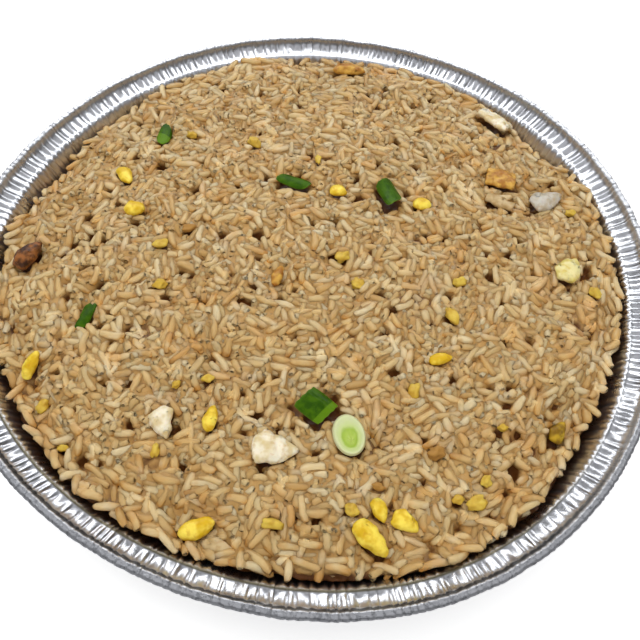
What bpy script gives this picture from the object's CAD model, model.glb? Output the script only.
import math

import bpy
import numpy as np
from mathutils import Matrix, Vector, noise
from mathutils.bvhtree import BVHTree


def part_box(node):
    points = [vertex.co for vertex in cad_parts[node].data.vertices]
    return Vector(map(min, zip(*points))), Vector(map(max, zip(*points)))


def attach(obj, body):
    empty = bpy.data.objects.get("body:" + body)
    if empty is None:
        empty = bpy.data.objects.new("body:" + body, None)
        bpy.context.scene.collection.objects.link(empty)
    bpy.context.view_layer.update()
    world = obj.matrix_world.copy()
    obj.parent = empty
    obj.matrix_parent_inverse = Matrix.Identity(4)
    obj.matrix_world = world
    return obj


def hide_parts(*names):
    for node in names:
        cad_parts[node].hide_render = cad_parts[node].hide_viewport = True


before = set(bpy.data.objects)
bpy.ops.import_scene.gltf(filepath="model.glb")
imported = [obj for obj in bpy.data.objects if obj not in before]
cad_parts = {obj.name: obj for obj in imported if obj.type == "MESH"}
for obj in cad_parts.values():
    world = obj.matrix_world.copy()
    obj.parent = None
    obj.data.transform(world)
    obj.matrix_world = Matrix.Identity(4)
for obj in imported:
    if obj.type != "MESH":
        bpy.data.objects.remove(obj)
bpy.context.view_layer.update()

# ------------------------------------------------------------------------------------------
# The foil pan. One disc of thin aluminium foil, pressed into a round pan: the wall and the rim
# gather into some three hundred uneven radial pleats, the wall turns out over a flat ledge into
# a hollow flange, and the edge is rolled under into a bead that irons the pleats nearly flat.
# ------------------------------------------------------------------------------------------

MM = 0.001  # lengths below are in millimetres
pan_height = 46.0
foil_gauge = 0.25
pleat_count = 300
wall_foot = (88.7, 1.6)  # radius and height
ledge = (106.4, 41.0)
floor_height = 0.5
cove_start, cove_width = 107.2, 4.5  # the hollow flange between the ledge and the bead
cove_bulge = 0.42
crease_radius, ledge_radius = 112.2, 107.35
draw = np.random.default_rng(4107)


def out_of_round(azimuth, height):
    """How far the pressed foil stands out of a true circle."""
    lobes = -0.3 * np.sin(2 * azimuth) - 0.85 * np.cos(3 * azimuth) + 0.85 * np.sin(4 * azimuth)
    return lobes * height / pan_height


def wall_radius(azimuth, height):
    slope = (ledge[0] - wall_foot[0]) / (ledge[1] - wall_foot[1])
    return wall_foot[0] + (height - wall_foot[1]) * slope + out_of_round(azimuth, height)


def mesh_piece(name, points, faces):
    """A mesh that rides with the pan, from points in millimetres and arrays of like-sided faces."""
    mesh = bpy.data.meshes.new(name)
    corners = np.concatenate([part.ravel() for part in faces]).astype(np.int32)
    sides = np.concatenate([np.full(len(part), part.shape[1]) for part in faces])
    mesh.vertices.add(len(points))
    mesh.vertices.foreach_set("co", (np.asarray(points) * MM).ravel())
    mesh.loops.add(len(corners))
    mesh.loops.foreach_set("vertex_index", corners)
    mesh.polygons.add(len(sides))
    mesh.polygons.foreach_set("loop_start", (np.cumsum(sides) - sides).astype(np.int32))
    mesh.polygons.foreach_set("use_smooth", np.ones(len(sides), bool))
    mesh.update(calc_edges=True)
    piece = bpy.data.objects.new(name, mesh)
    bpy.context.collection.objects.link(piece)
    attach(piece, "root")
    return piece


def band_faces(rows, columns, start=0):
    """Quads between rings of points that close on themselves."""
    row, column = np.meshgrid(np.arange(rows - 1), np.arange(columns), indexing="ij")
    beside = (column + 1) % columns
    quads = [row * columns + column, row * columns + beside,
             (row + 1) * columns + beside, (row + 1) * columns + column]
    return np.stack(quads, -1).reshape(-1, 4) + start


# Each pleat rises slowly and falls back sharply: where its points lie, as a share of its width,
# and how far up they stand.
pleat_width = draw.uniform(0.55, 1.5, pleat_count)
pleat_width *= 2 * math.pi / pleat_width.sum()
pleat_start = np.cumsum(pleat_width) - pleat_width
pleat_size = draw.uniform(0.45, 1.0, pleat_count)
pleat_bulge = draw.uniform(-1.0, 1.0, pleat_count)
pleat_lean = draw.choice([-1, 1], pleat_count, p=[0.35, 0.65])
share = np.array([0.0, 0.32, 0.62, 0.84, 0.93])
share_of = np.where(pleat_lean[:, None] > 0, share, 0.97 - share[::-1])
rise = np.array([0.0, 0.55, 1.0, 0.8, 0.15])
rise_of = np.where(pleat_lean[:, None] > 0, rise, rise[::-1])
azimuth = (pleat_start[:, None] + pleat_width[:, None] * share_of).ravel()
pleat = (pleat_size[:, None] * (rise_of - 0.5)).ravel()
bulge = np.interp(azimuth, pleat_start + pleat_width / 2, pleat_bulge, period=2 * math.pi)


def slow_wave(count, low, high):
    """An uneven wave round the pan, made of a few whole numbers of waves."""
    turns = draw.integers(low, high, count)
    phase = draw.uniform(0, 2 * math.pi, count)
    return np.sin(turns[:, None] * azimuth + phase[:, None]).sum(0) / math.sqrt(count)


# Inside of the foil from the middle out: radius, height, depth of the pleats there.
wall_rows = [(r, z, d) for r, z, d in zip(
    np.linspace(89.3, 105.9, 9), np.linspace(2.9, 39.3, 9), np.linspace(0.3, 0.8, 9))]
inside = [(40, floor_height, 0), (86.2, floor_height, 0), (87.8, 1.0, 0.04), *wall_rows,
          (106.3, 40.1, 0.55), (106.75, 40.65, 0.35), (107.2, 41.02, 0.2), (107.35, 41.07, 0.18),
          (107.55, 41.04, 0.2), (107.85, 41.02, 0.3), (108.2, 41.1, 0.5), (108.7, 41.24, 0.75),
          (109.25, 41.43, 0.9), (109.85, 41.7, 1.0), (110.45, 42.03, 1.0), (111.0, 42.42, 0.85),
          (111.6, 42.98, 0.65), (112.0, 43.6, 0.4), (112.3, 44.3, 0.2)]
bead = [(112.5, 44.95, 0.2), (112.8, 45.45, 0.34), (113.2, 45.72, 0.36), (113.55, 45.48, 0.3),
        (113.9, 45.72, 0.36), (114.4, 45.45, 0.34), (114.8, 44.9, 0.26), (114.8, 44.1, 0.2),
        (114.3, 43.4, 0.12), (113.4, 43.2, 0.08), (112.8, 43.5, 0.05)]
section = np.array(inside + bead)
along = np.gradient(section[:, :2], axis=0)
along /= np.linalg.norm(along, axis=1)[:, None]
normal = np.stack([-along[:, 1], along[:, 0]], 1)
outside = section[:len(inside)][::-1].copy()
outside[:, :2] -= normal[:len(inside)][::-1] * foil_gauge
section = np.concatenate([section, outside])
normal = np.concatenate([normal, normal[:len(inside)][::-1]])
section[:, 1] = np.maximum(section[:, 1], 0.0)

radius = section[:, :1] + out_of_round(azimuth, section[:, 1:2])
radius = radius + normal[:, :1] * section[:, 2:] * pleat
height = section[:, 1:2] + normal[:, 1:] * section[:, 2:] * pleat
across_cove = np.clip((section[:, :1] - cove_start) / cove_width, 0, 1)
height = height + cove_bulge * bulge * np.sin(math.pi * across_cove) * (section[:, :1] < 112)
rim_share = np.clip((section[:, 1:2] - 38) / 8, 0, 1)
radius = radius + 0.08 * rim_share * (slow_wave(5, 20, 70) - 1)
height = height + 0.1 * rim_share * (slow_wave(5, 12, 60) - 1)
height = np.where(section[:, 1:2] < 0.6, section[:, 1:2], height)
pan_points = np.stack([radius * np.cos(azimuth), radius * np.sin(azimuth), height], -1)
rows, columns = radius.shape
pan_points = np.concatenate([pan_points.reshape(-1, 3), [[0, 0, floor_height], [0, 0, 0]]])
around = np.arange(columns)
beside = (around + 1) % columns
pan_floor = np.stack([np.full(columns, rows * columns), around, beside], 1)
last = (rows - 1) * columns
pan_base = np.stack([np.full(columns, rows * columns + 1), last + beside, last + around], 1)
pan = mesh_piece("pan_of_pleated_foil", pan_points,
                 [band_faces(rows, columns)[:, ::-1], pan_floor, pan_base])

# The finish follows three marks: the rolled bead, the dark crease inside it, and the ledge that is
# worn dull. The last two are strongest at the front and the left.
crimp = pan.data.attributes.new("crimp", "FLOAT_VECTOR", "POINT")
on_bead = np.zeros(len(section))
on_bead[len(inside):len(inside) + len(bead)] = 1.0
in_crease = np.exp(-((section[:, 0] - crease_radius) / 0.5) ** 2) * (section[:, 1] > 42.8)
tight = np.clip(0.35 - np.sin(azimuth) - 0.8 * np.clip(np.cos(azimuth), 0, 1), 0, 1)
on_ledge = np.exp(-((section[:, 0] - ledge_radius) / 0.45) ** 2) * (section[:, 1] > 40.3)
marks = np.stack([np.repeat(on_bead, columns), np.outer(in_crease, 0.3 + 0.7 * tight).ravel(),
                  np.outer(on_ledge, tight).ravel()], 1)
crimp.data.foreach_set("vector", np.concatenate([marks, np.zeros((2, 3))]).astype(np.float32).ravel())
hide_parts("foil_pan")


class Value:
    """A socket in a node tree. Sums and products of values add the Math nodes for them."""

    def __init__(self, tree, socket=None):
        self.tree = tree
        self.socket = socket

    def node(self, kind, settings=None, inputs=None, output=0):
        made = self.tree.nodes.new("ShaderNode" + kind)
        for name, setting in (settings or {}).items():
            if name == "stops":
                while len(made.color_ramp.elements) < len(setting):
                    made.color_ramp.elements.new(0.5)
                for element, (place, colour) in zip(made.color_ramp.elements, setting):
                    element.position = place
                    element.color = colour
            else:
                setattr(made, name, setting)
        for name, value in (inputs or {}).items():
            if isinstance(value, Value):
                self.tree.links.new(value.socket, made.inputs[name])
            else:
                made.inputs[name].default_value = value
        return Value(self.tree, made.outputs[output])

    def math(self, operation, *values):
        return self.node("Math", {"operation": operation}, dict(enumerate(values)))

    def __add__(self, other):
        return self.math("ADD", self, other)

    def __sub__(self, other):
        return self.math("SUBTRACT", self, other)

    def __rsub__(self, other):
        return self.math("SUBTRACT", other, self)

    def __mul__(self, other):
        return self.math("MULTIPLY", self, other)

    __radd__ = __add__
    __rmul__ = __mul__

    def mark(self, name, output=2):
        """What the piece's points carry under a name: as a colour (0), a vector (1) or a number (2)."""
        return self.node("Attribute", {"attribute_name": name}, output=output)

    def parts(self, kind):
        """The three numbers of a vector (XYZ) or a colour (Color)."""
        split = self.node("Separate" + kind, {}, {0: self}).socket.node
        return [Value(self.tree, split.outputs[k]) for k in range(3)]

    def between(self, low, high):
        """0 at low and 1 at high, clamped, with a soft start and end."""
        return self.node("MapRange", {"interpolation_type": "SMOOTHSTEP"},
                         {"Value": self, "From Min": low, "From Max": high})

    def blend(self, low, high):
        """A colour that goes from low to high as this value goes from 0 to 1."""
        return self.node("Mix", {"data_type": "RGBA"}, {0: self, 6: low, 7: high}, output=2)

    def grain(self, size, detail=2.0):
        """Cloudy noise, 0 to 1, with lumps of a size in millimetres."""
        place = self.node("TexCoord", output=3)
        return self.node("TexNoise", {}, {"Vector": place, "Scale": 1 / (size * MM), "Detail": detail})

    def bumps(self, height, depth):
        """A bent normal for relief of a depth in millimetres."""
        return self.node("Bump", {}, {"Height": height, "Distance": depth * MM, "Strength": 1.0})


def colour(red, green, blue):
    """A colour as it looks on a screen, 0 to 255, as the shader takes it."""
    seen = np.array([red, green, blue]) / 255
    light = np.where(seen > 0.04045, ((seen + 0.055) / 1.055) ** 2.4, seen / 12.92)
    return (*light.tolist(), 1.0)


def finish(name, pieces, fixed, scatter_method="RANDOM_WALK"):
    """A material on some pieces, with its unchanging values set, and the start of its nodes."""
    material = bpy.data.materials.new(name)
    material.use_nodes = True
    shader = material.node_tree.nodes["Principled BSDF"]
    shader.subsurface_method = scatter_method
    for socket, value in fixed.items():
        shader.inputs[socket].default_value = value
    for piece in pieces:
        piece.data.materials.clear()
        piece.data.materials.append(material)
    start = Value(material.node_tree)

    def feed(**values):
        for socket, value in values.items():
            start.tree.links.new(value.socket, shader.inputs[socket.replace("_", " ")])

    return start, feed


foil, feed = finish("pleated_foil", [pan], {"IOR": 1.5})
film = foil.grain(14.0, 3.0)
scuff = foil.grain(0.7, 3.0)
rolled, creased, worn = foil.mark("crimp", output=1).parts("XYZ")
bright = film.blend(colour(212, 213, 215), colour(234, 234, 235))
bright = (rolled * foil.grain(0.9, 3.0).between(0.5, 0.66) * 0.5).blend(bright, colour(112, 114, 118))
bright = worn.between(0.1, 0.9).blend(bright, colour(142, 134, 112))
feed(Base_Color=creased.between(0.1, 0.8).blend(bright, colour(52, 53, 56)),
     Metallic=1.0 - creased.between(0.1, 0.8) * 0.8,
     Roughness=0.2 + film * 0.1 + scuff * 0.08 + rolled * 0.16 + worn * 0.25,
     Normal=foil.bumps(foil.grain(1.8, 4.0) * (1.0 + rolled * 1.4) + foil.grain(0.45, 2.0) * 0.3, 0.1))

# ------------------------------------------------------------------------------------------
# The toppings. Scraps of egg that was fried and broken up in the wok: soft, moist, rounded folds
# of white and yolk, some browned, and one chunk of dark roast meat. Each is pressed in among the
# grains, so it keeps the place and form of its solid and gains the creases and crumb of egg.
# ------------------------------------------------------------------------------------------

even_cell = 0.32
swell = 0.3  # takes up most of the gap that the solid keeps to the heap
lump_size = 2.4
crumb_size, crumb_depth = 1.2, 0.1


def softened(node, lump_depth, rounding):
    """A frame node's form with rounded edges and an uneven cooked surface."""
    name = node + "_cooked"
    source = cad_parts[node]
    mesh = source.data.copy()
    mesh.transform(source.matrix_world)
    rough = bpy.data.objects.new(name, mesh)
    bpy.context.collection.objects.link(rough)
    remesh = rough.modifiers.new("even", "REMESH")
    remesh.mode = "VOXEL"
    remesh.voxel_size = even_cell * MM
    relax = rough.modifiers.new("round", "SMOOTH")
    relax.iterations = rounding
    relax.factor = 0.5
    bpy.context.view_layer.update()
    shape = bpy.data.meshes.new_from_object(rough.evaluated_get(bpy.context.evaluated_depsgraph_get()))
    bpy.data.objects.remove(rough)
    for vertex in shape.vertices:
        place = Vector(vertex.co) / MM
        lump = noise.noise(place / lump_size) * lump_depth
        crumb = noise.fractal(place / crumb_size, 0.7, 2.2, 3) * crumb_depth
        vertex.co = vertex.co + vertex.normal * (swell + lump + crumb) * MM
    for face in shape.polygons:
        face.use_smooth = True
    shape.name = name
    piece = bpy.data.objects.new(name, shape)
    bpy.context.collection.objects.link(piece)
    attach(piece, "root")
    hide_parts(node)
    return piece


def scrap_kind(node):
    if node.startswith("pork"):
        return "meat"
    if "browned" in node or "golden" in node:
        return "egg_browned"
    return "egg_yolk" if "yolk" in node else "egg_white"


# The yolk is firmer than the white, and the curled scrap is too thin to round off much.
scrap_nodes = sorted(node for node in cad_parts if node.startswith(("egg_", "pork_")))
scraps = {}
for node in scrap_nodes:
    scraps[node] = softened(node, 0.5 if "yolk" in node else 0.7, 12 if "curl" in node else 30)


def egg_finish(name, pieces, light, deep, oily, through=0.25):
    """Fried egg: cloudy, moist and a little clear, with sauce soaked in here and there."""
    egg, feed = finish(name, pieces, {
        "IOR": 1.42, "Specular IOR Level": 0.35, "Subsurface Weight": through, "Subsurface Scale": 1.8 * MM,
        "Subsurface Radius": (1.0, 0.75, 0.4), "Coat Weight": 0.08, "Coat Roughness": 0.22})
    cloud = egg.grain(3.4, 2.0).between(0.36, 0.64)
    soaked = egg.grain(1.9, 2.0).between(0.52, 0.74) * 0.5
    feed(Base_Color=soaked.blend(cloud.blend(deep, light), oily),
         Roughness=0.36 + egg.grain(1.2) * 0.2,
         Normal=egg.bumps(egg.grain(1.1, 3.0), 0.16))


egg_finish("egg_white", [scraps["egg_white_" + name] for name in ("lobed", "scrap", "rim")],
           colour(240, 231, 206), colour(214, 194, 146), colour(196, 158, 92), 0.3)
egg_finish("egg_white_clear", [scraps["egg_white_clear"]],
           colour(200, 194, 182), colour(184, 172, 150), colour(178, 148, 106), 0.4)
egg_finish("egg_white_sauced", [scraps["egg_white_" + name] for name in ("curl", "front")],
           colour(202, 178, 134), colour(182, 152, 102), colour(164, 122, 66), 0.3)
egg_finish("egg_white_yolky", [scraps["egg_white_pale"]],
           colour(230, 218, 156), colour(214, 194, 96), colour(204, 172, 52))
plain_yolks = [node for node in scrap_nodes if scrap_kind(node) == "egg_yolk" and "mustard" not in node]
egg_finish("egg_yolk", [scraps[node] for node in plain_yolks],
           colour(248, 222, 88), colour(216, 176, 26), colour(196, 142, 30))
egg_finish("egg_yolk_mustard", [scraps["egg_yolk_mustard"]],
           colour(196, 160, 42), colour(132, 98, 18), colour(84, 56, 14))
egg_finish("egg_browned", [scraps[node] for node in scrap_nodes if scrap_kind(node) == "egg_browned"],
           colour(212, 166, 74), colour(166, 110, 38), colour(128, 74, 26), 0.15)

meat, feed = finish("roast_meat", [scraps["pork_chunk"]], {
    "IOR": 1.42, "Subsurface Weight": 0.1, "Subsurface Scale": 1.0 * MM, "Coat Weight": 0.08})
cloud = meat.grain(2.6, 4.0).between(0.35, 0.65)
feed(Base_Color=cloud.blend(colour(58, 30, 10), colour(150, 92, 40)),
     Roughness=0.4 + meat.grain(1.0) * 0.2,
     Normal=meat.bumps(meat.grain(0.6, 4.0), 0.2))

# ------------------------------------------------------------------------------------------
# The spring onion. Snipped pieces of the hollow green leaf: thin curved sheets, dark and waxy
# outside with fine ribs along them, paler at the cut edge; and one slanting slice of the pale stem
# with its rings of layers and a yellow-green heart.
# ------------------------------------------------------------------------------------------

leaf_gauge = 0.55
leaf_ribs = 9
rib_height, wave_height = 0.05, 0.18


def place_in_box(points, node, turn, tip):
    """Turns points about +Z, tips them, and moves their middle to the middle of a node's box."""
    turned = Matrix.Rotation(math.radians(turn), 3, "Z") @ Matrix.Rotation(math.radians(tip), 3, "Y")
    points = points @ np.array(turned).T
    low, high = (np.array(corner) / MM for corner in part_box(node))
    return points + (low + high) / 2 - (points.min(0) + points.max(0)) / 2


def leaf_sheet(node, length, width, curl, turn, tip, rounded, skew):
    """A snipped piece of leaf, curled about its length, with ribs, waves and worn corners."""
    across_count, along_count = 28, 34
    u, v = np.meshgrid(np.linspace(-0.5, 0.5, along_count), np.linspace(-0.5, 0.5, across_count),
                       indexing="ij")
    ragged = 0.1 * np.sin(v * 23 + length) * np.abs(2 * u) ** 8 * np.sign(u)
    x = u * length * (1 - rounded * np.abs(2 * v) ** 4) + skew * v * width + ragged
    bend = math.radians(curl)
    round_radius = width / bend
    ribs = rib_height * np.sin(v * 2 * math.pi * leaf_ribs)
    waves = wave_height * np.sin(u * 5.2 + v * 3.1 + turn)
    sides = []
    for out in (leaf_gauge / 2, -leaf_gauge / 2):
        thin = 1 - 0.6 * np.maximum(np.abs(2 * u), np.abs(2 * v)) ** 10
        arm = round_radius + out * thin + (ribs if out > 0 else 0)
        angle = v * bend * (1 - rounded * np.abs(2 * u) ** 4)
        sides.append(np.stack([x, arm * np.sin(angle), arm * np.cos(angle) - round_radius + waves], -1))
    points = np.concatenate([side_points.reshape(-1, 3) for side_points in sides])
    i, j = np.meshgrid(np.arange(along_count - 1), np.arange(across_count - 1), indexing="ij")
    a = (i * across_count + j).ravel()
    upper = np.stack([a, a + across_count, a + across_count + 1, a + 1], 1)
    size = along_count * across_count
    lower = upper[:, ::-1] + size
    border = np.concatenate([
        np.arange(across_count), np.arange(2, along_count) * across_count - 1,
        (along_count - 1) * across_count + np.arange(across_count - 1, -1, -1),
        np.arange(along_count - 2, 0, -1) * across_count])
    following = np.roll(border, -1)
    rim = np.stack([border, following, following + size, border + size], 1)
    points = place_in_box(points, node, turn, tip)
    piece = mesh_piece(node + "_waxy", points, [upper, lower, rim])
    tone = piece.data.attributes.new("inside", "FLOAT", "POINT")
    inner = np.concatenate([np.zeros(size), np.ones(size)])
    edge = np.maximum(np.abs(2 * u), np.abs(2 * v)).ravel() ** 24
    tone.data.foreach_set("value", np.maximum(inner, np.concatenate([edge, edge]) * 0.7))
    # Two of the pieces have a lighter end.
    flap = {"scallion_leaf_square": (u > 0.28), "scallion_leaf_curl": (u < 0.0)}.get(node, u > 1)
    lighter = piece.data.attributes.new("lighter", "FLOAT", "POINT")
    lighter.data.foreach_set("value", np.tile(flap.astype(float).ravel(), 2))
    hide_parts(node)
    return piece


leaves = [
    leaf_sheet("scallion_leaf_square", 9.3, 9.0, 62, -37, 8, 0.05, skew=0.1),
    leaf_sheet("scallion_leaf_wedge", 13.8, 7.6, 110, -73, -12, 0.16, skew=-0.25),
    leaf_sheet("scallion_leaf_strip", 11.6, 5.2, 70, -20, 5, 0.18, skew=0.35),
    leaf_sheet("scallion_leaf_curl", 10.4, 6.2, 110, 80, 0, 0.4, skew=0.3),
    leaf_sheet("scallion_leaf_fleck", 9.6, 4.0, 60, 78, 0, 0.18, skew=-0.4),
]
leaf, feed = finish("onion_leaf", leaves, {
    "IOR": 1.4, "Specular IOR Level": 0.12, "Subsurface Weight": 0.1, "Subsurface Scale": 0.8 * MM,
    "Subsurface Radius": (0.6, 1.0, 0.1), "Coat Weight": 0.04, "Coat Roughness": 0.08})
pale = leaf.mark("inside")
lighter = leaf.mark("lighter")
blotch = leaf.grain(2.4, 3.0).between(0.35, 0.65)
green = blotch.blend(colour(40, 74, 0), colour(62, 98, 2))
green = (lighter * 0.7).blend(green, colour(98, 136, 18))
feed(Base_Color=(pale * 0.5).blend(green, colour(130, 158, 60)),
     Roughness=0.3 + blotch * 0.12,
     Normal=leaf.bumps(leaf.grain(0.5, 2.0), 0.04))

ring_count, spoke_count = 30, 64
half_length, half_width, slice_height, heart_shift = 6.1, 4.6, 2.2, 1.9
ring_height, layers = 0.07, 3.4
share = np.linspace(0, 1, ring_count)
rings = ring_height * np.cos(share * 2 * math.pi * layers) * (share < 0.93) * (share > 0.2)
dome = np.where(share > 0.86, -((share - 0.86) / 0.14) ** 2 * 0.9, 0) + 0.3 * np.exp(-(share / 0.3) ** 2)
spoke = np.arange(spoke_count) * 2 * math.pi / spoke_count
shift = heart_shift * (1 - share)
top = np.stack([share[:, None] * half_length * np.cos(spoke) + shift[:, None],
                share[:, None] * half_width * np.sin(spoke),
                (slice_height + rings + dome)[:, None] + 0.06 * np.sin(5 * spoke)], -1)
bottom = top[::-1] * np.array([1, 1, 0]) * 0.94
slice_points = np.concatenate([top, bottom]).reshape(-1, 3)
slice_points = place_in_box(slice_points, "scallion_stem_slice", -75, 6)
onion_slice = mesh_piece("scallion_stem_slice_rings", slice_points,
                         [band_faces(2 * ring_count, spoke_count)[:, ::-1]])
layer = onion_slice.data.attributes.new("layer", "FLOAT", "POINT")
layer.data.foreach_set("value", np.repeat(np.concatenate([share, np.ones(ring_count)]), spoke_count))
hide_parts("scallion_stem_slice")

stem, feed = finish("onion_stem", [onion_slice], {
    "IOR": 1.42, "Subsurface Weight": 0.35, "Subsurface Scale": 1.5 * MM,
    "Subsurface Radius": (0.8, 1.0, 0.4), "Coat Weight": 0.2, "Coat Roughness": 0.12})
layer = stem.mark("layer")
heart = stem.node("ValToRGB", {"stops": [
    (0.0, colour(180, 198, 96)), (0.3, colour(166, 190, 76)), (0.42, colour(158, 184, 66)),
    (0.56, colour(192, 206, 130)), (0.82, colour(204, 210, 160)), (1.0, colour(206, 208, 164))]}, {
    "Fac": layer + (stem.grain(3.0) - 0.5) * 0.25})
feed(Base_Color=heart, Roughness=0.28 + stem.grain(1.5) * 0.15, Normal=stem.bumps(stem.grain(0.6), 0.05))

# ------------------------------------------------------------------------------------------
# The small scraps. Crumbs of yolk and bits of browned egg, a few millimetres across, that lie
# among the grains where the wok left them, half sunk in the heap.
# ------------------------------------------------------------------------------------------

cell = 0.4  # the heap is mapped on a grid of cells this wide
reach = 108.0
axis = np.arange(-reach, reach + cell, cell)
side = len(axis)
coarse_every = 3
coarse_cell = cell * coarse_every


def height_map(node, step=1):
    """The height of a frame node's upper side over the grid, in millimetres, or no number beside it."""
    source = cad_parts[node]
    mesh = source.data
    corners = [source.matrix_world @ v.co for v in mesh.vertices]
    tree = BVHTree.FromPolygons(corners, [p.vertices[:] for p in mesh.polygons])
    low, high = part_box(node)
    found = np.full((side, side), np.nan)
    for i in range(0, side, step):
        x = axis[i] * MM
        if not low[0] <= x <= high[0]:
            continue
        for j in range(0, side, step):
            y = axis[j] * MM
            if low[1] <= y <= high[1]:
                hit = tree.ray_cast(Vector((x, y, 0.2)), Vector((0, 0, -1)))[0]
                if hit:
                    found[i, j] = hit.z / MM
    return found


def smoothed(values, known, width):
    """A running mean over the known cells, three times each way, which rounds like a lens blur."""
    kernel = np.ones(width) / width
    total = np.where(known, values, 0.0)
    weight = known.astype(float)
    for _ in range(3):
        for turn in (0, 1):
            total = np.apply_along_axis(np.convolve, turn, total, kernel, "same")
            weight = np.apply_along_axis(np.convolve, turn, weight, kernel, "same")
    return total / np.maximum(weight, 1e-6)


coarse = height_map("rice_heap", coarse_every)[::coarse_every, ::coarse_every]
coarse_known = np.isfinite(coarse)
coarse_top = smoothed(np.nan_to_num(coarse), coarse_known, 3)


def between_cells(values, x, y, step=cell):
    """A value between the cells of a map."""
    i = np.clip((np.asarray(x) - axis[0]) / step, 0, len(values) - 1.001)
    j = np.clip((np.asarray(y) - axis[0]) / step, 0, len(values) - 1.001)
    i0, j0 = i.astype(int), j.astype(int)
    u, v = i - i0, j - j0
    low = values[i0, j0] * (1 - u) + values[i0 + 1, j0] * u
    high = values[i0, j0 + 1] * (1 - u) + values[i0 + 1, j0 + 1] * u
    return low * (1 - v) + high * v


# x, y, length, width, turn
yellow_bits = [
    (-77.5, -57.5, 4.6, 3.0, 60), (-69.8, -69.8, 3.0, 2.4, 0), (11.6, -87.8, 4.0, 3.0, -20),
    (-29.8, -50.3, 3.4, 2.4, 10), (-38.7, -52.2, 3.0, 2.2, 50), (-42.2, -72.1, 4.2, 2.0, 80),
    (30.4, -53.9, 5.6, 3.6, 70), (-9.1, -91.5, 5.6, 2.8, -8), (45.2, -85.6, 6.0, 3.8, 20),
    (48.5, -79.8, 3.8, 2.6, 60), (40.2, -84.7, 3.4, 2.4, 10), (15.2, -16.2, 4.6, 3.8, -30),
    (48.1, -14.9, 4.4, 3.4, 0), (44.1, -27.9, 6.4, 3.6, -65), (10.4, -5.7, 5.0, 3.6, 20),
    (93.0, -16.0, 4.8, 3.0, -70), (92.0, 18.4, 3.4, 2.8, 0), (-50.1, -0.9, 4.6, 3.2, 30),
    (-48.0, -17.0, 4.2, 3.4, 0), (-45.6, 52.1, 4.0, 3.0, 0), (-21.9, 48.2, 5.0, 3.8, -30),
    (2.1, 40.0, 4.2, 2.2, 85), (55.5, -64.1, 3.0, 2.0, 0),
]
brown_bits = [(-41.2, 5.4, 4.8, 3.2, 20), (35.2, -72.3, 4.8, 3.8, 10), (18.9, -81.4, 3.6, 1.9, -10)]
bit_rows, bit_columns = 12, 18
bit_rise = 0.1  # of a bit's middle above the heap
pole = 0.12  # half angle of the flat facet at either end of a bit, in radians


def pebble(x, y, length, width, turn):
    """Points of one small scrap, sunk in the heap by half its height."""
    polar = np.linspace(pole, math.pi - pole, bit_rows)[:, None]
    spin = np.arange(bit_columns) * 2 * math.pi / bit_columns
    ball = np.stack([np.sin(polar) * np.cos(spin), np.sin(polar) * np.sin(spin),
                     np.cos(polar) + 0 * spin], -1).reshape(-1, 3)
    lumps = np.array([noise.noise(Vector(p) * 1.3 + Vector((x, y, 0))) for p in ball])
    ball = ball * (1 + 0.6 * lumps)[:, None] * np.array([length, width, min(length, width) * 0.9]) / 2
    angle = math.radians(turn)
    spun = ball.copy()
    spun[:, 0] = ball[:, 0] * math.cos(angle) - ball[:, 1] * math.sin(angle)
    spun[:, 1] = ball[:, 0] * math.sin(angle) + ball[:, 1] * math.cos(angle)
    return spun + np.array([x, y, float(between_cells(coarse_top, x, y, coarse_cell)) + bit_rise])


def pebble_piece(name, bits):
    points, faces, caps = [], [], []
    for k, bit in enumerate(bits):
        points.append(pebble(*bit))
        start = k * bit_rows * bit_columns
        faces.append(band_faces(bit_rows, bit_columns, start)[:, ::-1])
        caps.append(np.arange(bit_columns) + start)
        caps.append(start + (bit_rows - 1) * bit_columns + np.arange(bit_columns)[::-1])
    return mesh_piece(name, np.concatenate(points), [np.concatenate(faces), np.array(caps)])


yolk_crumbs = pebble_piece("egg_yolk_crumbs", yellow_bits)
egg_finish("egg_crumbs", [yolk_crumbs], colour(214, 184, 76), colour(198, 160, 56), colour(176, 132, 46))
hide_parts("rice_heap")
brown_crumbs = pebble_piece("egg_browned_crumbs", brown_bits)
brown_crumbs.data.materials.append(bpy.data.materials["egg_browned"])
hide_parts("rice_heap")

# ------------------------------------------------------------------------------------------
# The rice. Cooked long-grain rice tossed with soy: slender, slightly bent grains with blunt ends
# that are let fall one by one until the top of the heap is reached, so each rests on those below
# it. They stick together, so a solid body of packed rice fills the pan and the cracks between them.
# ------------------------------------------------------------------------------------------

grain_length = (5.8, 9.2)
grain_width = (2.1, 2.85)
grain_flatness = (0.8, 0.95)  # thickness as a share of the width
broken_share, broken_length = 0.3, (0.5, 0.78)
grain_tries = 80000
top_slack = 1.1  # how far a grain may stand above the clumps
press = 0.44  # share of a grain's underside that hangs free of what it presses into
upended_share = 0.14
least_shown = 5  # a grain is dropped unless more of its cells than this show from above
sunk_grains, sunk_tries, sunk_length = 1400, 6000, (3.4, 7.0)
packed_depth = 2.5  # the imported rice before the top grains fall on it, below the mean top of the heap
edge_inset = 1.8  # the heap's own height is read this far inside its edge
edge_reach, front_reach = 1.8, 1.7  # how far loose grains reach out past it, and how much more in front
front_azimuth, front_spread = 282, 16
near_wall = 4.5  # grains this close to the edge lie along it
below_ledge = 40.4  # where the wall's width is read for the highest grains
pit_depth = 2.4
wall_gap = 0.6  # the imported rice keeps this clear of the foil
no_rice = 60.0  # the height that cells outside the heap are given
scatter = np.random.default_rng(90214)

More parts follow.
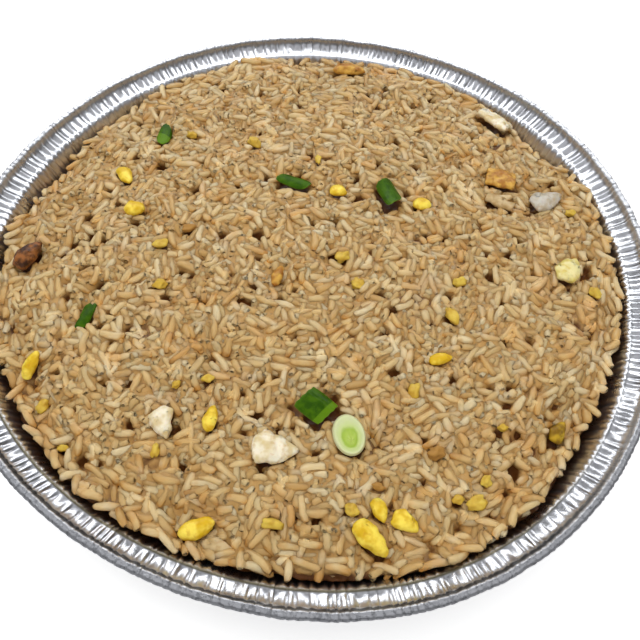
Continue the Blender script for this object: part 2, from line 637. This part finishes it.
grid_x, grid_y = np.meshgrid(axis, axis, indexing="ij")
grid_azimuth = np.arctan2(grid_y, grid_x)
grid_radius = np.hypot(grid_x, grid_y)
heap_inside = between_cells(coarse_known.astype(float), grid_x, grid_y, coarse_cell) > 0.5
core_azimuth = np.arange(360) * math.pi / 180
edge_radius = np.array([grid_radius[heap_inside & (np.abs(
    (grid_azimuth - a + math.pi) % (2 * math.pi) - math.pi) < 0.02)].max() for a in core_azimuth])
knead = np.random.default_rng(5521)
everywhere = np.ones((side, side), bool)


def mottle(width):
    """Soft random relief of even strength over the grid, with lumps a few cells wide."""
    lumps = smoothed(knead.normal(size=(side, side)), everywhere, width)
    return lumps / lumps.std()


solid_edge = np.interp(grid_azimuth, core_azimuth, edge_radius, period=2 * math.pi)
inward = np.minimum(1, (solid_edge - edge_inset) / np.maximum(grid_radius, 1))
heap_top = between_cells(coarse_top, grid_x * inward, grid_y * inward, coarse_cell)
# Loose grains reach out past the edge of the solid heap towards the ledge, most of all in front.
in_front = np.clip(1.4 - np.abs(np.degrees(core_azimuth) - front_azimuth) / front_spread, 0, 1)
edge_radius = edge_radius + edge_reach + front_reach * in_front
to_edge = np.interp(grid_azimuth, core_azimuth, edge_radius, period=2 * math.pi) - grid_radius
heap_inside = to_edge > 0
toward_front = np.clip(0.5 - np.sin(grid_azimuth), 0, 1)
heaped = heap_top + (0.9 + 2.5 * toward_front) * np.clip(1 - to_edge / 6, 0, 1)
# The rice clumps unevenly, and here and there it leaves a pit that no grain fills.
pits = np.clip((mottle(4) - 2.1) / 0.4, 0, 1) * (to_edge > 3)
clumped_top = heaped + 0.45 * mottle(9) + 0.45 * mottle(17)
packed_top = heaped + 0.35 * mottle(3) + 0.4 * mottle(5) - pit_depth * pits - packed_depth
packed_top -= 1.2 * np.clip(1 - to_edge / 4, 0, 1) ** 1.5
settled = np.where(heap_inside, packed_top, no_rice)

# Grains may lie against a topping and over its border, but not on it.
blocked = pits > 0.6
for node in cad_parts:
    if node in ("foil_pan", "rice_heap"):
        continue
    topping = height_map(node)
    inner = np.isfinite(topping)
    for _ in range(2 if node.startswith("scallion") else 3):
        inner[1:-1, 1:-1] = (inner[1:-1, 1:-1] & inner[:-2, 1:-1] & inner[2:, 1:-1]
                             & inner[1:-1, :-2] & inner[1:-1, 2:])
    settled = np.where(inner, np.maximum(settled, np.nan_to_num(topping)), settled)
    blocked |= inner
for x, y, length, width, turn in yellow_bits + brown_bits:
    angle = math.radians(turn)
    dx, dy = grid_x - x, grid_y - y
    u = (dx * math.cos(angle) + dy * math.sin(angle)) / (length / 2)
    v = (dy * math.cos(angle) - dx * math.sin(angle)) / (width / 2)
    blocked |= u * u + v * v < 0.4

half_patch = 14
offset = np.arange(-half_patch, half_patch + 1) * cell
patch_x, patch_y = np.meshgrid(offset, offset, indexing="ij")


def footprint(length, width, thick, yaw, pitch):
    """Where a grain covers the patch, how far its upper side bulges there, and the slope of its axis."""
    u = patch_x * math.cos(yaw) + patch_y * math.sin(yaw)
    v = patch_y * math.cos(yaw) - patch_x * math.sin(yaw)
    half = length / 2 * math.cos(pitch) + thick / 2 * math.sin(abs(pitch))
    share = (np.abs(u) / half) ** 4 + (v / (width / 2)) ** 2
    bulge = np.sqrt(np.clip(1 - share, 0, 1)) * thick / 2 / math.cos(pitch)
    return share < 1, bulge, u * math.tan(pitch), u, v


def patch_at(ci, cj):
    """The cells that the patch covers with its middle on a cell."""
    return slice(ci - half_patch, ci + half_patch + 1), slice(cj - half_patch, cj + half_patch + 1)


# A grain falls where there is most room. It is tried at a few yaws, moved in from the wall, tipped
# to lie along what is under it and pressed in a little, and it stays where it stands up least.
laid = []
owner = np.full((side, side), -1)
for attempt in range(grain_tries):
    if attempt % 300 == 0:
        room = np.where(heap_inside & ~blocked, clumped_top + top_slack - settled, 0)
        weights = np.cumsum(np.clip(room - 0.6, 0, None).ravel() ** 2)
    pick = divmod(int(np.searchsorted(weights, scatter.uniform(0, weights[-1]))), side)
    length, width = scatter.uniform(*grain_length), scatter.uniform(*grain_width)
    if scatter.random() < broken_share:
        length *= scatter.uniform(*broken_length)
    thick = width * scatter.uniform(*grain_flatness)
    upended = to_edge[pick] > 9 and scatter.random() < upended_share
    around_wall = math.atan2(axis[pick[1]], axis[pick[0]])
    best = None
    yaws = [around_wall + math.pi / 2, *(scatter.uniform(0, 2 * math.pi) + np.arange(3) * math.pi / 3)]
    if to_edge[pick] < near_wall:
        yaws = around_wall + math.pi / 2 + scatter.normal(0, 0.55, 3)
    for yaw in yaws:
        reach_out = length / 2 - width / 2
        ends = [(axis[pick[0]] + k * reach_out * math.cos(yaw),
                 axis[pick[1]] + k * reach_out * math.sin(yaw)) for k in (-1, 1)]
        over = max(math.hypot(ex, ey) + width / 2 - 0.1 - wall_radius(
            math.atan2(ey, ex), min(below_ledge, settled[pick] + 0.8)) for ex, ey in ends)
        if over > 4:
            continue
        shift = max(0.0, over) / cell
        ci = pick[0] - round(shift * math.cos(around_wall))
        cj = pick[1] - round(shift * math.sin(around_wall))
        if not (half_patch < ci < side - half_patch - 1 and half_patch < cj < side - half_patch - 1):
            continue
        window = patch_at(ci, cj)
        ground, shut, wanted = settled[window], blocked[window], clumped_top[window]
        under, up_side, line, u, v = footprint(length, width, thick, yaw, 0.0)
        if upended:
            pitch = scatter.uniform(0.35, 0.95)
        else:
            mid_line = np.abs(v) < width / 4
            level = np.where(ground < no_rice, np.minimum(ground, wanted + 2), wanted)
            front = level[mid_line & (u > length / 6) & (u < length / 2)].mean()
            back = level[mid_line & (u < -length / 6) & (u > -length / 2)].mean()
            lie = max(-0.7, min(0.7, math.atan2(front - back, length * 0.66)))
            pitch = lie + scatter.normal(0, 0.16 if to_edge[pick] > 8 else 0.05)
        under, up_side, line, u, v = footprint(length, width, thick, yaw, pitch)
        if (shut & under).any():
            continue
        inside = under & (ground < no_rice)
        if inside.sum() < 0.6 * under.sum():
            continue
        if upended:
            peak = wanted[half_patch, half_patch] + scatter.uniform(-0.8, top_slack)
            middle_z = peak - length / 2 * math.sin(pitch) - thick / 4
            top_z = np.minimum(middle_z + line + up_side, peak)
            proud = 0.0
        else:
            middle_z = np.quantile((ground - line + up_side)[inside], press)
            top_z = middle_z + line + up_side
            proud = (top_z - wanted)[inside].max()
        tips = [(axis[ci] + k * reach_out * math.cos(yaw), axis[cj] + k * reach_out * math.sin(yaw),
                 middle_z + k * reach_out * math.sin(pitch)) for k in (-1, 1)]
        poke = max(math.hypot(tx, ty) + width / 2 - wall_radius(around_wall, tz) for tx, ty, tz in tips)
        if poke > 0.4:
            continue
        raised = np.clip(top_z - ground, 0, None)[inside]
        if (raised > 0.25).mean() < 0.35:
            continue
        if best is None or proud < best[0]:
            best = (proud, ci, cj, middle_z, yaw, pitch, inside, top_z)
        if upended:
            break
    if best is None or best[0] > top_slack + scatter.uniform(-0.6, 0.5):
        continue
    proud, ci, cj, middle_z, yaw, pitch, inside, top_z = best
    window = patch_at(ci, cj)
    higher = inside & (top_z > settled[window])
    owner[window] = np.where(higher, len(laid), owner[window])
    settled[window] = np.where(higher, top_z, settled[window])
    if scatter.random() < 0.5:
        yaw, pitch = yaw + math.pi, -pitch
    laid.append((axis[ci], axis[cj], middle_z, yaw, pitch, scatter.normal(0, 0.4), length, width, thick))
laid = np.array(laid)
shown = np.bincount(owner[owner >= 0], minlength=len(laid))
laid = laid[shown > least_shown]

# Sticky rice closes the narrow cracks, and follows the grains at a little less than their height.
under_toppings = np.where(blocked, packed_top, settled)
closed_top = smoothed(under_toppings, heap_inside, 3) - 0.35 - 0.2 * np.clip(mottle(3), -1, 2)
closed_top = np.where(heap_inside & ~blocked, np.maximum(closed_top, packed_top), packed_top)
closed_top -= 1.0 * np.clip(1 - to_edge / 2.5, 0, 1)

# Short pieces of grain lie half sunk in the sticky rice, wherever it would lie bare.
bare = (closed_top > settled + 0.05) & heap_inside & ~blocked & (to_edge > 4)
sunk = []
for attempt in range(sunk_tries):
    if attempt % 100 == 0:
        weights = np.cumsum((smoothed(bare, everywhere, 4) * bare).ravel() ** 3)
    if len(sunk) >= sunk_grains:
        break
    ci, cj = divmod(int(np.searchsorted(weights, scatter.uniform(0, weights[-1]))), side)
    length, width = scatter.uniform(*sunk_length), scatter.uniform(*grain_width) - 0.1
    yaw = scatter.uniform(0, 2 * math.pi)
    thick = width * scatter.uniform(*grain_flatness)
    window = patch_at(ci, cj)
    under, up_side, line, u, v = footprint(length, width, thick, yaw, 0.0)
    front = closed_top[window][under & (u > length / 4)].mean()
    back = closed_top[window][under & (u < -length / 4)].mean()
    pitch = math.atan2(front - back, length * 0.7) + scatter.normal(0, 0.12)
    under, up_side, line, u, v = footprint(length, width, thick, yaw, pitch)
    middle_z = closed_top[ci, cj] - thick / 2 + scatter.uniform(0.3, 0.8)
    top_z = middle_z + line + up_side
    higher = under & (top_z > np.maximum(settled, closed_top)[window])
    if (blocked[window] & under).any() or higher.sum() < 0.45 * under.sum():
        continue
    settled[window] = np.where(higher, top_z, settled[window])
    bare[window] &= ~higher
    sunk.append((axis[ci], axis[cj], middle_z, yaw, pitch, scatter.normal(0, 0.4), length, width, thick))
laid = np.concatenate([laid, sunk])

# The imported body: a square grid bent into a disc for its top, and rings down the wall to its base.
core_cells = 270
core_base = 1.2
a, b = np.meshgrid(np.linspace(-1, 1, core_cells + 1), np.linspace(-1, 1, core_cells + 1), indexing="ij")
wide = np.abs(a) > np.abs(b)
spread = np.where(wide, a, b)
sweep = np.where(wide, math.pi / 4 * b / np.where(wide, a, 1),
                 math.pi / 2 - math.pi / 4 * a / np.where(wide | (b == 0), 1, b))
spin = np.where(spread < 0, sweep + math.pi, sweep)
edge_there = np.interp(spin % (2 * math.pi), core_azimuth, edge_radius, period=2 * math.pi)
disc_radius = np.abs(spread) * (edge_there - 0.8)
for _ in range(3):
    disc_x, disc_y = disc_radius * np.cos(spin), disc_radius * np.sin(spin)
    disc_z = between_cells(closed_top, disc_x, disc_y)
    disc_radius = np.minimum(disc_radius, wall_radius(spin, disc_z) - wall_gap)
disc = np.stack([disc_x, disc_y, disc_z], -1).reshape(-1, 3)
index = np.arange((core_cells + 1) ** 2).reshape(core_cells + 1, -1)
top_faces = np.stack([index[:-1, :-1], index[1:, :-1], index[1:, 1:], index[:-1, 1:]], -1).reshape(-1, 4)
border = np.concatenate([index[:-1, 0], index[-1, :-1], index[:0:-1, -1], index[0, :0:-1]])
rim_spin = np.arctan2(disc[border, 1], disc[border, 0])
round_count = len(border)
below_edge = disc[border, 2] - 2.5
above_base = np.full(round_count, 4.5)
at_base = np.full(round_count, core_base)
skirts = [disc]
for z, inset in ((below_edge, 1.2), (above_base, 1.0), (at_base, 1.6)):
    r = wall_radius(rim_spin, z) - inset
    skirts.append(np.stack([r * np.cos(rim_spin), r * np.sin(rim_spin), z], -1))
start = len(disc)
step = np.arange(round_count)
after = (step + 1) % round_count
upper = [border, start + step, start + round_count + step]
lower = [start + step, start + round_count + step, start + 2 * round_count + step]
skirt_faces = np.concatenate([np.stack([low_ring, low_ring[after], high_ring[after], high_ring], 1)
                              for high_ring, low_ring in zip(upper, lower)])
base_middle = start + 3 * round_count
base_faces = np.stack([np.full(round_count, base_middle), lower[2][after], lower[2]], 1)
core = mesh_piece("rice_packed_below", np.concatenate([*skirts, [[0, 0, core_base]]]),
                  [top_faces, skirt_faces, base_faces])
sunken = core.data.attributes.new("sunken", "FLOAT", "POINT")
depth_of = np.ones(len(core.data.vertices), np.float32)
depth_of[:len(disc)] = np.clip((between_cells(heaped, disc_x, disc_y) - disc_z).ravel() / 4 - 0.1, 0, 1)
sunken.data.foreach_set("value", depth_of)
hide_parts("rice_heap")

packed, feed = finish("rice_packed_below", [core], {
    "IOR": 1.4, "Subsurface Weight": 0.8, "Subsurface Scale": 2.4 * MM,
    "Subsurface Radius": (1.0, 0.8, 0.5)}, "BURLEY")
deep = packed.mark("sunken")
cloud = packed.grain(2.4, 3.0)
mushy = cloud.blend(colour(172, 128, 66), colour(198, 158, 98))
feed(Base_Color=deep.between(0.05, 0.5).blend(mushy, colour(86, 50, 20)),
     Roughness=0.35 + cloud * 0.2,
     Normal=packed.bumps(packed.grain(1.4, 4.0), 0.4))

grain_rings = np.array([-0.97, -0.82, -0.45, 0.0, 0.45, 0.82, 0.97])
grain_sides, grain_forms = 6, 24


def grain_form():
    """One grain in a box from -1 to 1: blunt ends, one thinner than the other, bent and dented."""
    s = grain_rings
    blunt = scatter.uniform(5.0, 10.0)
    girth = (1 - np.abs(s) ** blunt) ** 0.5 * (1 + scatter.uniform(-0.14, 0.14) * s)
    girth *= 1 + 0.07 * np.sin(s * 4 + scatter.uniform(0, 6))
    turn = np.arange(grain_sides) * 2 * math.pi / grain_sides
    ridge = 1 + 0.07 * np.cos(3 * turn + scatter.uniform(0, 6))
    y = girth[:, None] * np.cos(turn) * ridge + scatter.uniform(-0.55, 0.55) * (s * s - 0.4)[:, None]
    z = girth[:, None] * np.sin(turn) * ridge + scatter.uniform(-0.2, 0.2) * (s * s - 0.4)[:, None]
    x = np.broadcast_to(s[:, None], y.shape)
    ring = np.stack([x, y, z], -1).reshape(-1, 3)
    ring = ring + scatter.normal(0, (0.012, 0.05, 0.05), ring.shape)
    ends = np.array([[-1, ring[:grain_sides, 1].mean(), ring[:grain_sides, 2].mean()],
                     [1, ring[-grain_sides:, 1].mean(), ring[-grain_sides:, 2].mean()]])
    return np.concatenate([ring, ends])


forms = np.array([grain_form() for _ in range(grain_forms)])
ring_faces = band_faces(len(grain_rings), grain_sides)
around = np.arange(grain_sides)
beside = (around + 1) % grain_sides
first_end = len(grain_rings) * grain_sides
end_faces = np.concatenate([
    np.stack([np.full(grain_sides, first_end), around, beside], 1),
    np.stack([np.full(grain_sides, first_end + 1), first_end - grain_sides + beside,
              first_end - grain_sides + around], 1)])
grain_corners = forms.shape[1]


def grain_piece(name, rows):
    """All the grains of one kind as one mesh, with each grain's own tone and stain on its points."""
    x, y, z, yaw, pitch, roll, length, width, thick = rows.T[:, :, None]
    form = forms[scatter.integers(0, grain_forms, len(rows))]
    px, py, pz = form[..., 0] * length / 2, form[..., 1] * width / 2, form[..., 2] * thick / 2
    py, pz = py * np.cos(roll) - pz * np.sin(roll), py * np.sin(roll) + pz * np.cos(roll)
    px, pz = px * np.cos(pitch) - pz * np.sin(pitch), px * np.sin(pitch) + pz * np.cos(pitch)
    px, py = px * np.cos(yaw) - py * np.sin(yaw), px * np.sin(yaw) + py * np.cos(yaw)
    points = np.stack([px + x, py + y, pz + z], -1).reshape(-1, 3)
    starts = (np.arange(len(rows)) * grain_corners)[:, None, None]
    faces = [(ring_faces[None] + starts).reshape(-1, 4), (end_faces[None] + starts).reshape(-1, 3)]
    piece = mesh_piece(name, points, faces)
    tone = np.repeat(scatter.random((len(rows), 2)), grain_corners, axis=0)
    lengthwise = form[..., 0].reshape(-1)
    shade = piece.data.color_attributes.new("grain", "FLOAT_COLOR", "POINT")
    values = np.column_stack([tone, np.abs(lengthwise), np.ones(len(tone))]).astype(np.float32)
    shade.data.foreach_set("color", values.ravel())
    crown = piece.data.attributes.new("crown", "FLOAT", "POINT")
    crown.data.foreach_set("value", (pz / thick * 2).ravel().astype(np.float32))
    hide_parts("rice_heap")
    return piece


def rice_finish(name, piece, light, deep, stain):
    """Moist rice: a pale grain that soaks up more soy at its ends and here and there along it."""
    rice, feed = finish(name, [piece], {
        "IOR": 1.4, "Subsurface Weight": 1.0, "Subsurface Scale": 3.4 * MM,
        "Subsurface Radius": (1.0, 0.88, 0.7), "Coat Weight": 0.06, "Coat Roughness": 0.25}, "BURLEY")
    tone, soak, end = rice.mark("grain", output=0).parts("Color")
    cloud = rice.grain(2.0, 3.0)
    crown = rice.mark("crown")
    body = (tone * 0.45 + cloud * 0.7 - 0.05).between(0.0, 1.0).blend(light, deep)
    soaked = (soak * 0.25 + end * 0.4 + rice.grain(1.3, 2.0) * 0.9 - crown * 0.4).between(0.3, 1.2)
    sauce = rice.grain(9.0, 2.0).between(0.5, 0.7) * 0.45
    milky = rice.grain(6.0, 2.0).between(0.54, 0.7) * 0.4
    body = milky.blend(soaked.blend(body, stain), colour(210, 196, 164))
    feed(Base_Color=sauce.blend(body, colour(190, 136, 70)),
         Roughness=0.36 + cloud * 0.16,
         Normal=rice.bumps(rice.grain(0.6, 3.0), 0.05))


# How much soy the grains took up: their share of the rice, and their light, deep and stained colours.
rice_kinds = {
    "rice_pale": (0.24, colour(210, 192, 151), colour(202, 173, 120), colour(188, 140, 72)),
    "rice_golden": (0.3, colour(204, 181, 132), colour(196, 161, 103), colour(182, 131, 61)),
    "rice_tan": (0.28, colour(200, 173, 121), colour(190, 152, 92), colour(176, 124, 54)),
    "rice_brown": (0.18, colour(192, 161, 107), colour(180, 140, 79), colour(165, 112, 47)),
}
lot = scatter.random(len(laid))
from_lot = 0.0
for kind, (kind_share, light, deep, stain) in rice_kinds.items():
    grains = grain_piece(kind, laid[(lot >= from_lot) & (lot < from_lot + kind_share)])
    rice_finish(kind, grains, light, deep, stain)
    from_lot += kind_share

# ------------------------------------------------------------------------------------------
# The table and the light. A pale table top, one large soft lamp overhead and a window behind,
# and a dim room with a bright ceiling, far wall and strips low down for the foil to mirror.
# ------------------------------------------------------------------------------------------

bpy.ops.mesh.primitive_plane_add(size=6)
floor = bpy.context.object
floor.name = "floor"
floor.visible_glossy = False
table, feed = finish("pale_table", [floor], {
    "Specular IOR Level": 0.2, "Emission Color": (1, 1, 1, 1), "Emission Strength": 0.45})
feed(Base_Color=table.grain(30.0).blend((0.86, 0.86, 0.86, 1), (0.89, 0.89, 0.89, 1)),
     Roughness=0.6 + table.grain(8.0) * 0.1)


def soft_lamp(name, place, aim, size, watts):
    lamp = bpy.data.lights.new(name, "AREA")
    lamp.shape = "RECTANGLE"
    lamp.size, lamp.size_y = size
    lamp.energy = watts
    holder = bpy.data.objects.new(name, lamp)
    bpy.context.collection.objects.link(holder)
    holder.location = place
    holder.rotation_euler = (Vector(aim) - Vector(place)).to_track_quat("-Z", "Y").to_euler()
    holder.visible_camera = False
    return holder


overhead = soft_lamp("overhead", (-0.05, -0.02, 0.8), (0, 0, 0.03), (0.6, 0.55), 4.0)
overhead.visible_glossy = False
panel = soft_lamp("window_behind", (0.0, 0.27, 0.27), (0.0, 0.27, 0.0), (0.62, 0.22), 1.4)
panel.visible_diffuse = False
panel.data.color = (0.93, 0.96, 1.0)

world = bpy.data.worlds.new("room")
bpy.context.scene.world = world
world.use_nodes = True
room = Value(world.node_tree)
toward = room.node("TexCoord", output=0)
aside, ahead, up = toward.parts("XYZ")
furniture = room.node("TexNoise", {}, {"Vector": toward, "Scale": 3.2, "Detail": 1.5}).between(0.46, 0.62)
above = up.between(0.88, 0.97) * 0.36 + up.between(0.3, 0.6) * (0.04 + furniture * 0.26)
far = ahead.between(0.35, 0.65) * (1 - up.between(0.7, 0.9)) * 0.3
near = (0.0 - ahead).between(0.15, 0.45) * up.between(0.45, 0.75) * 0.4
ceiling = above + far + near
walls = (aside * aside).between(0.2, 0.5) * up.between(0.1, 0.4) * furniture * (0.6 - aside * 0.3)
table_glow = (1 - up.between(-0.25, 0.0)) * 0.35
mirrored = ceiling + walls + table_glow + 0.05
path = room.node("LightPath").socket.node
by_mirror = Value(room.tree, path.outputs["Is Glossy Ray"])
by_camera = Value(room.tree, path.outputs["Is Camera Ray"])
soft = (up * 0.5 + 0.5) * 0.26 + 0.36
level = soft + by_mirror * (mirrored - soft)
level = level + by_camera * (1.3 - level)
tint = by_mirror.blend((1, 1, 1, 1), (0.93, 0.94, 1.0, 1))
lit = room.node("VectorMath", {"operation": "SCALE"}, {0: tint, "Scale": level})
world.node_tree.links.new(lit.socket, world.node_tree.nodes["Background"].inputs["Color"])
world.node_tree.nodes["Background"].inputs["Strength"].default_value = 1.0

# The camera stands in front of the pan and looks steeply down into it.
camera_place = Vector((0.0, -135.72, 212.6)) * MM
camera_aim = Vector((3.07, -29.49, 44.7)) * MM
camera_roll = math.radians(2.192)
lens = bpy.data.cameras.new("camera")
lens.sensor_width = 36.0
lens.lens = 36.0
lens.clip_start = 0.01
camera = bpy.data.objects.new("camera", lens)
bpy.context.collection.objects.link(camera)
looking = (camera_aim - camera_place).to_track_quat("-Z", "Y").to_matrix()
camera.matrix_world = Matrix.Translation(camera_place) @ (
    looking @ Matrix.Rotation(camera_roll, 3, "Z")).to_4x4()
bpy.context.scene.camera = camera
bpy.context.scene.view_settings.view_transform = "Standard"
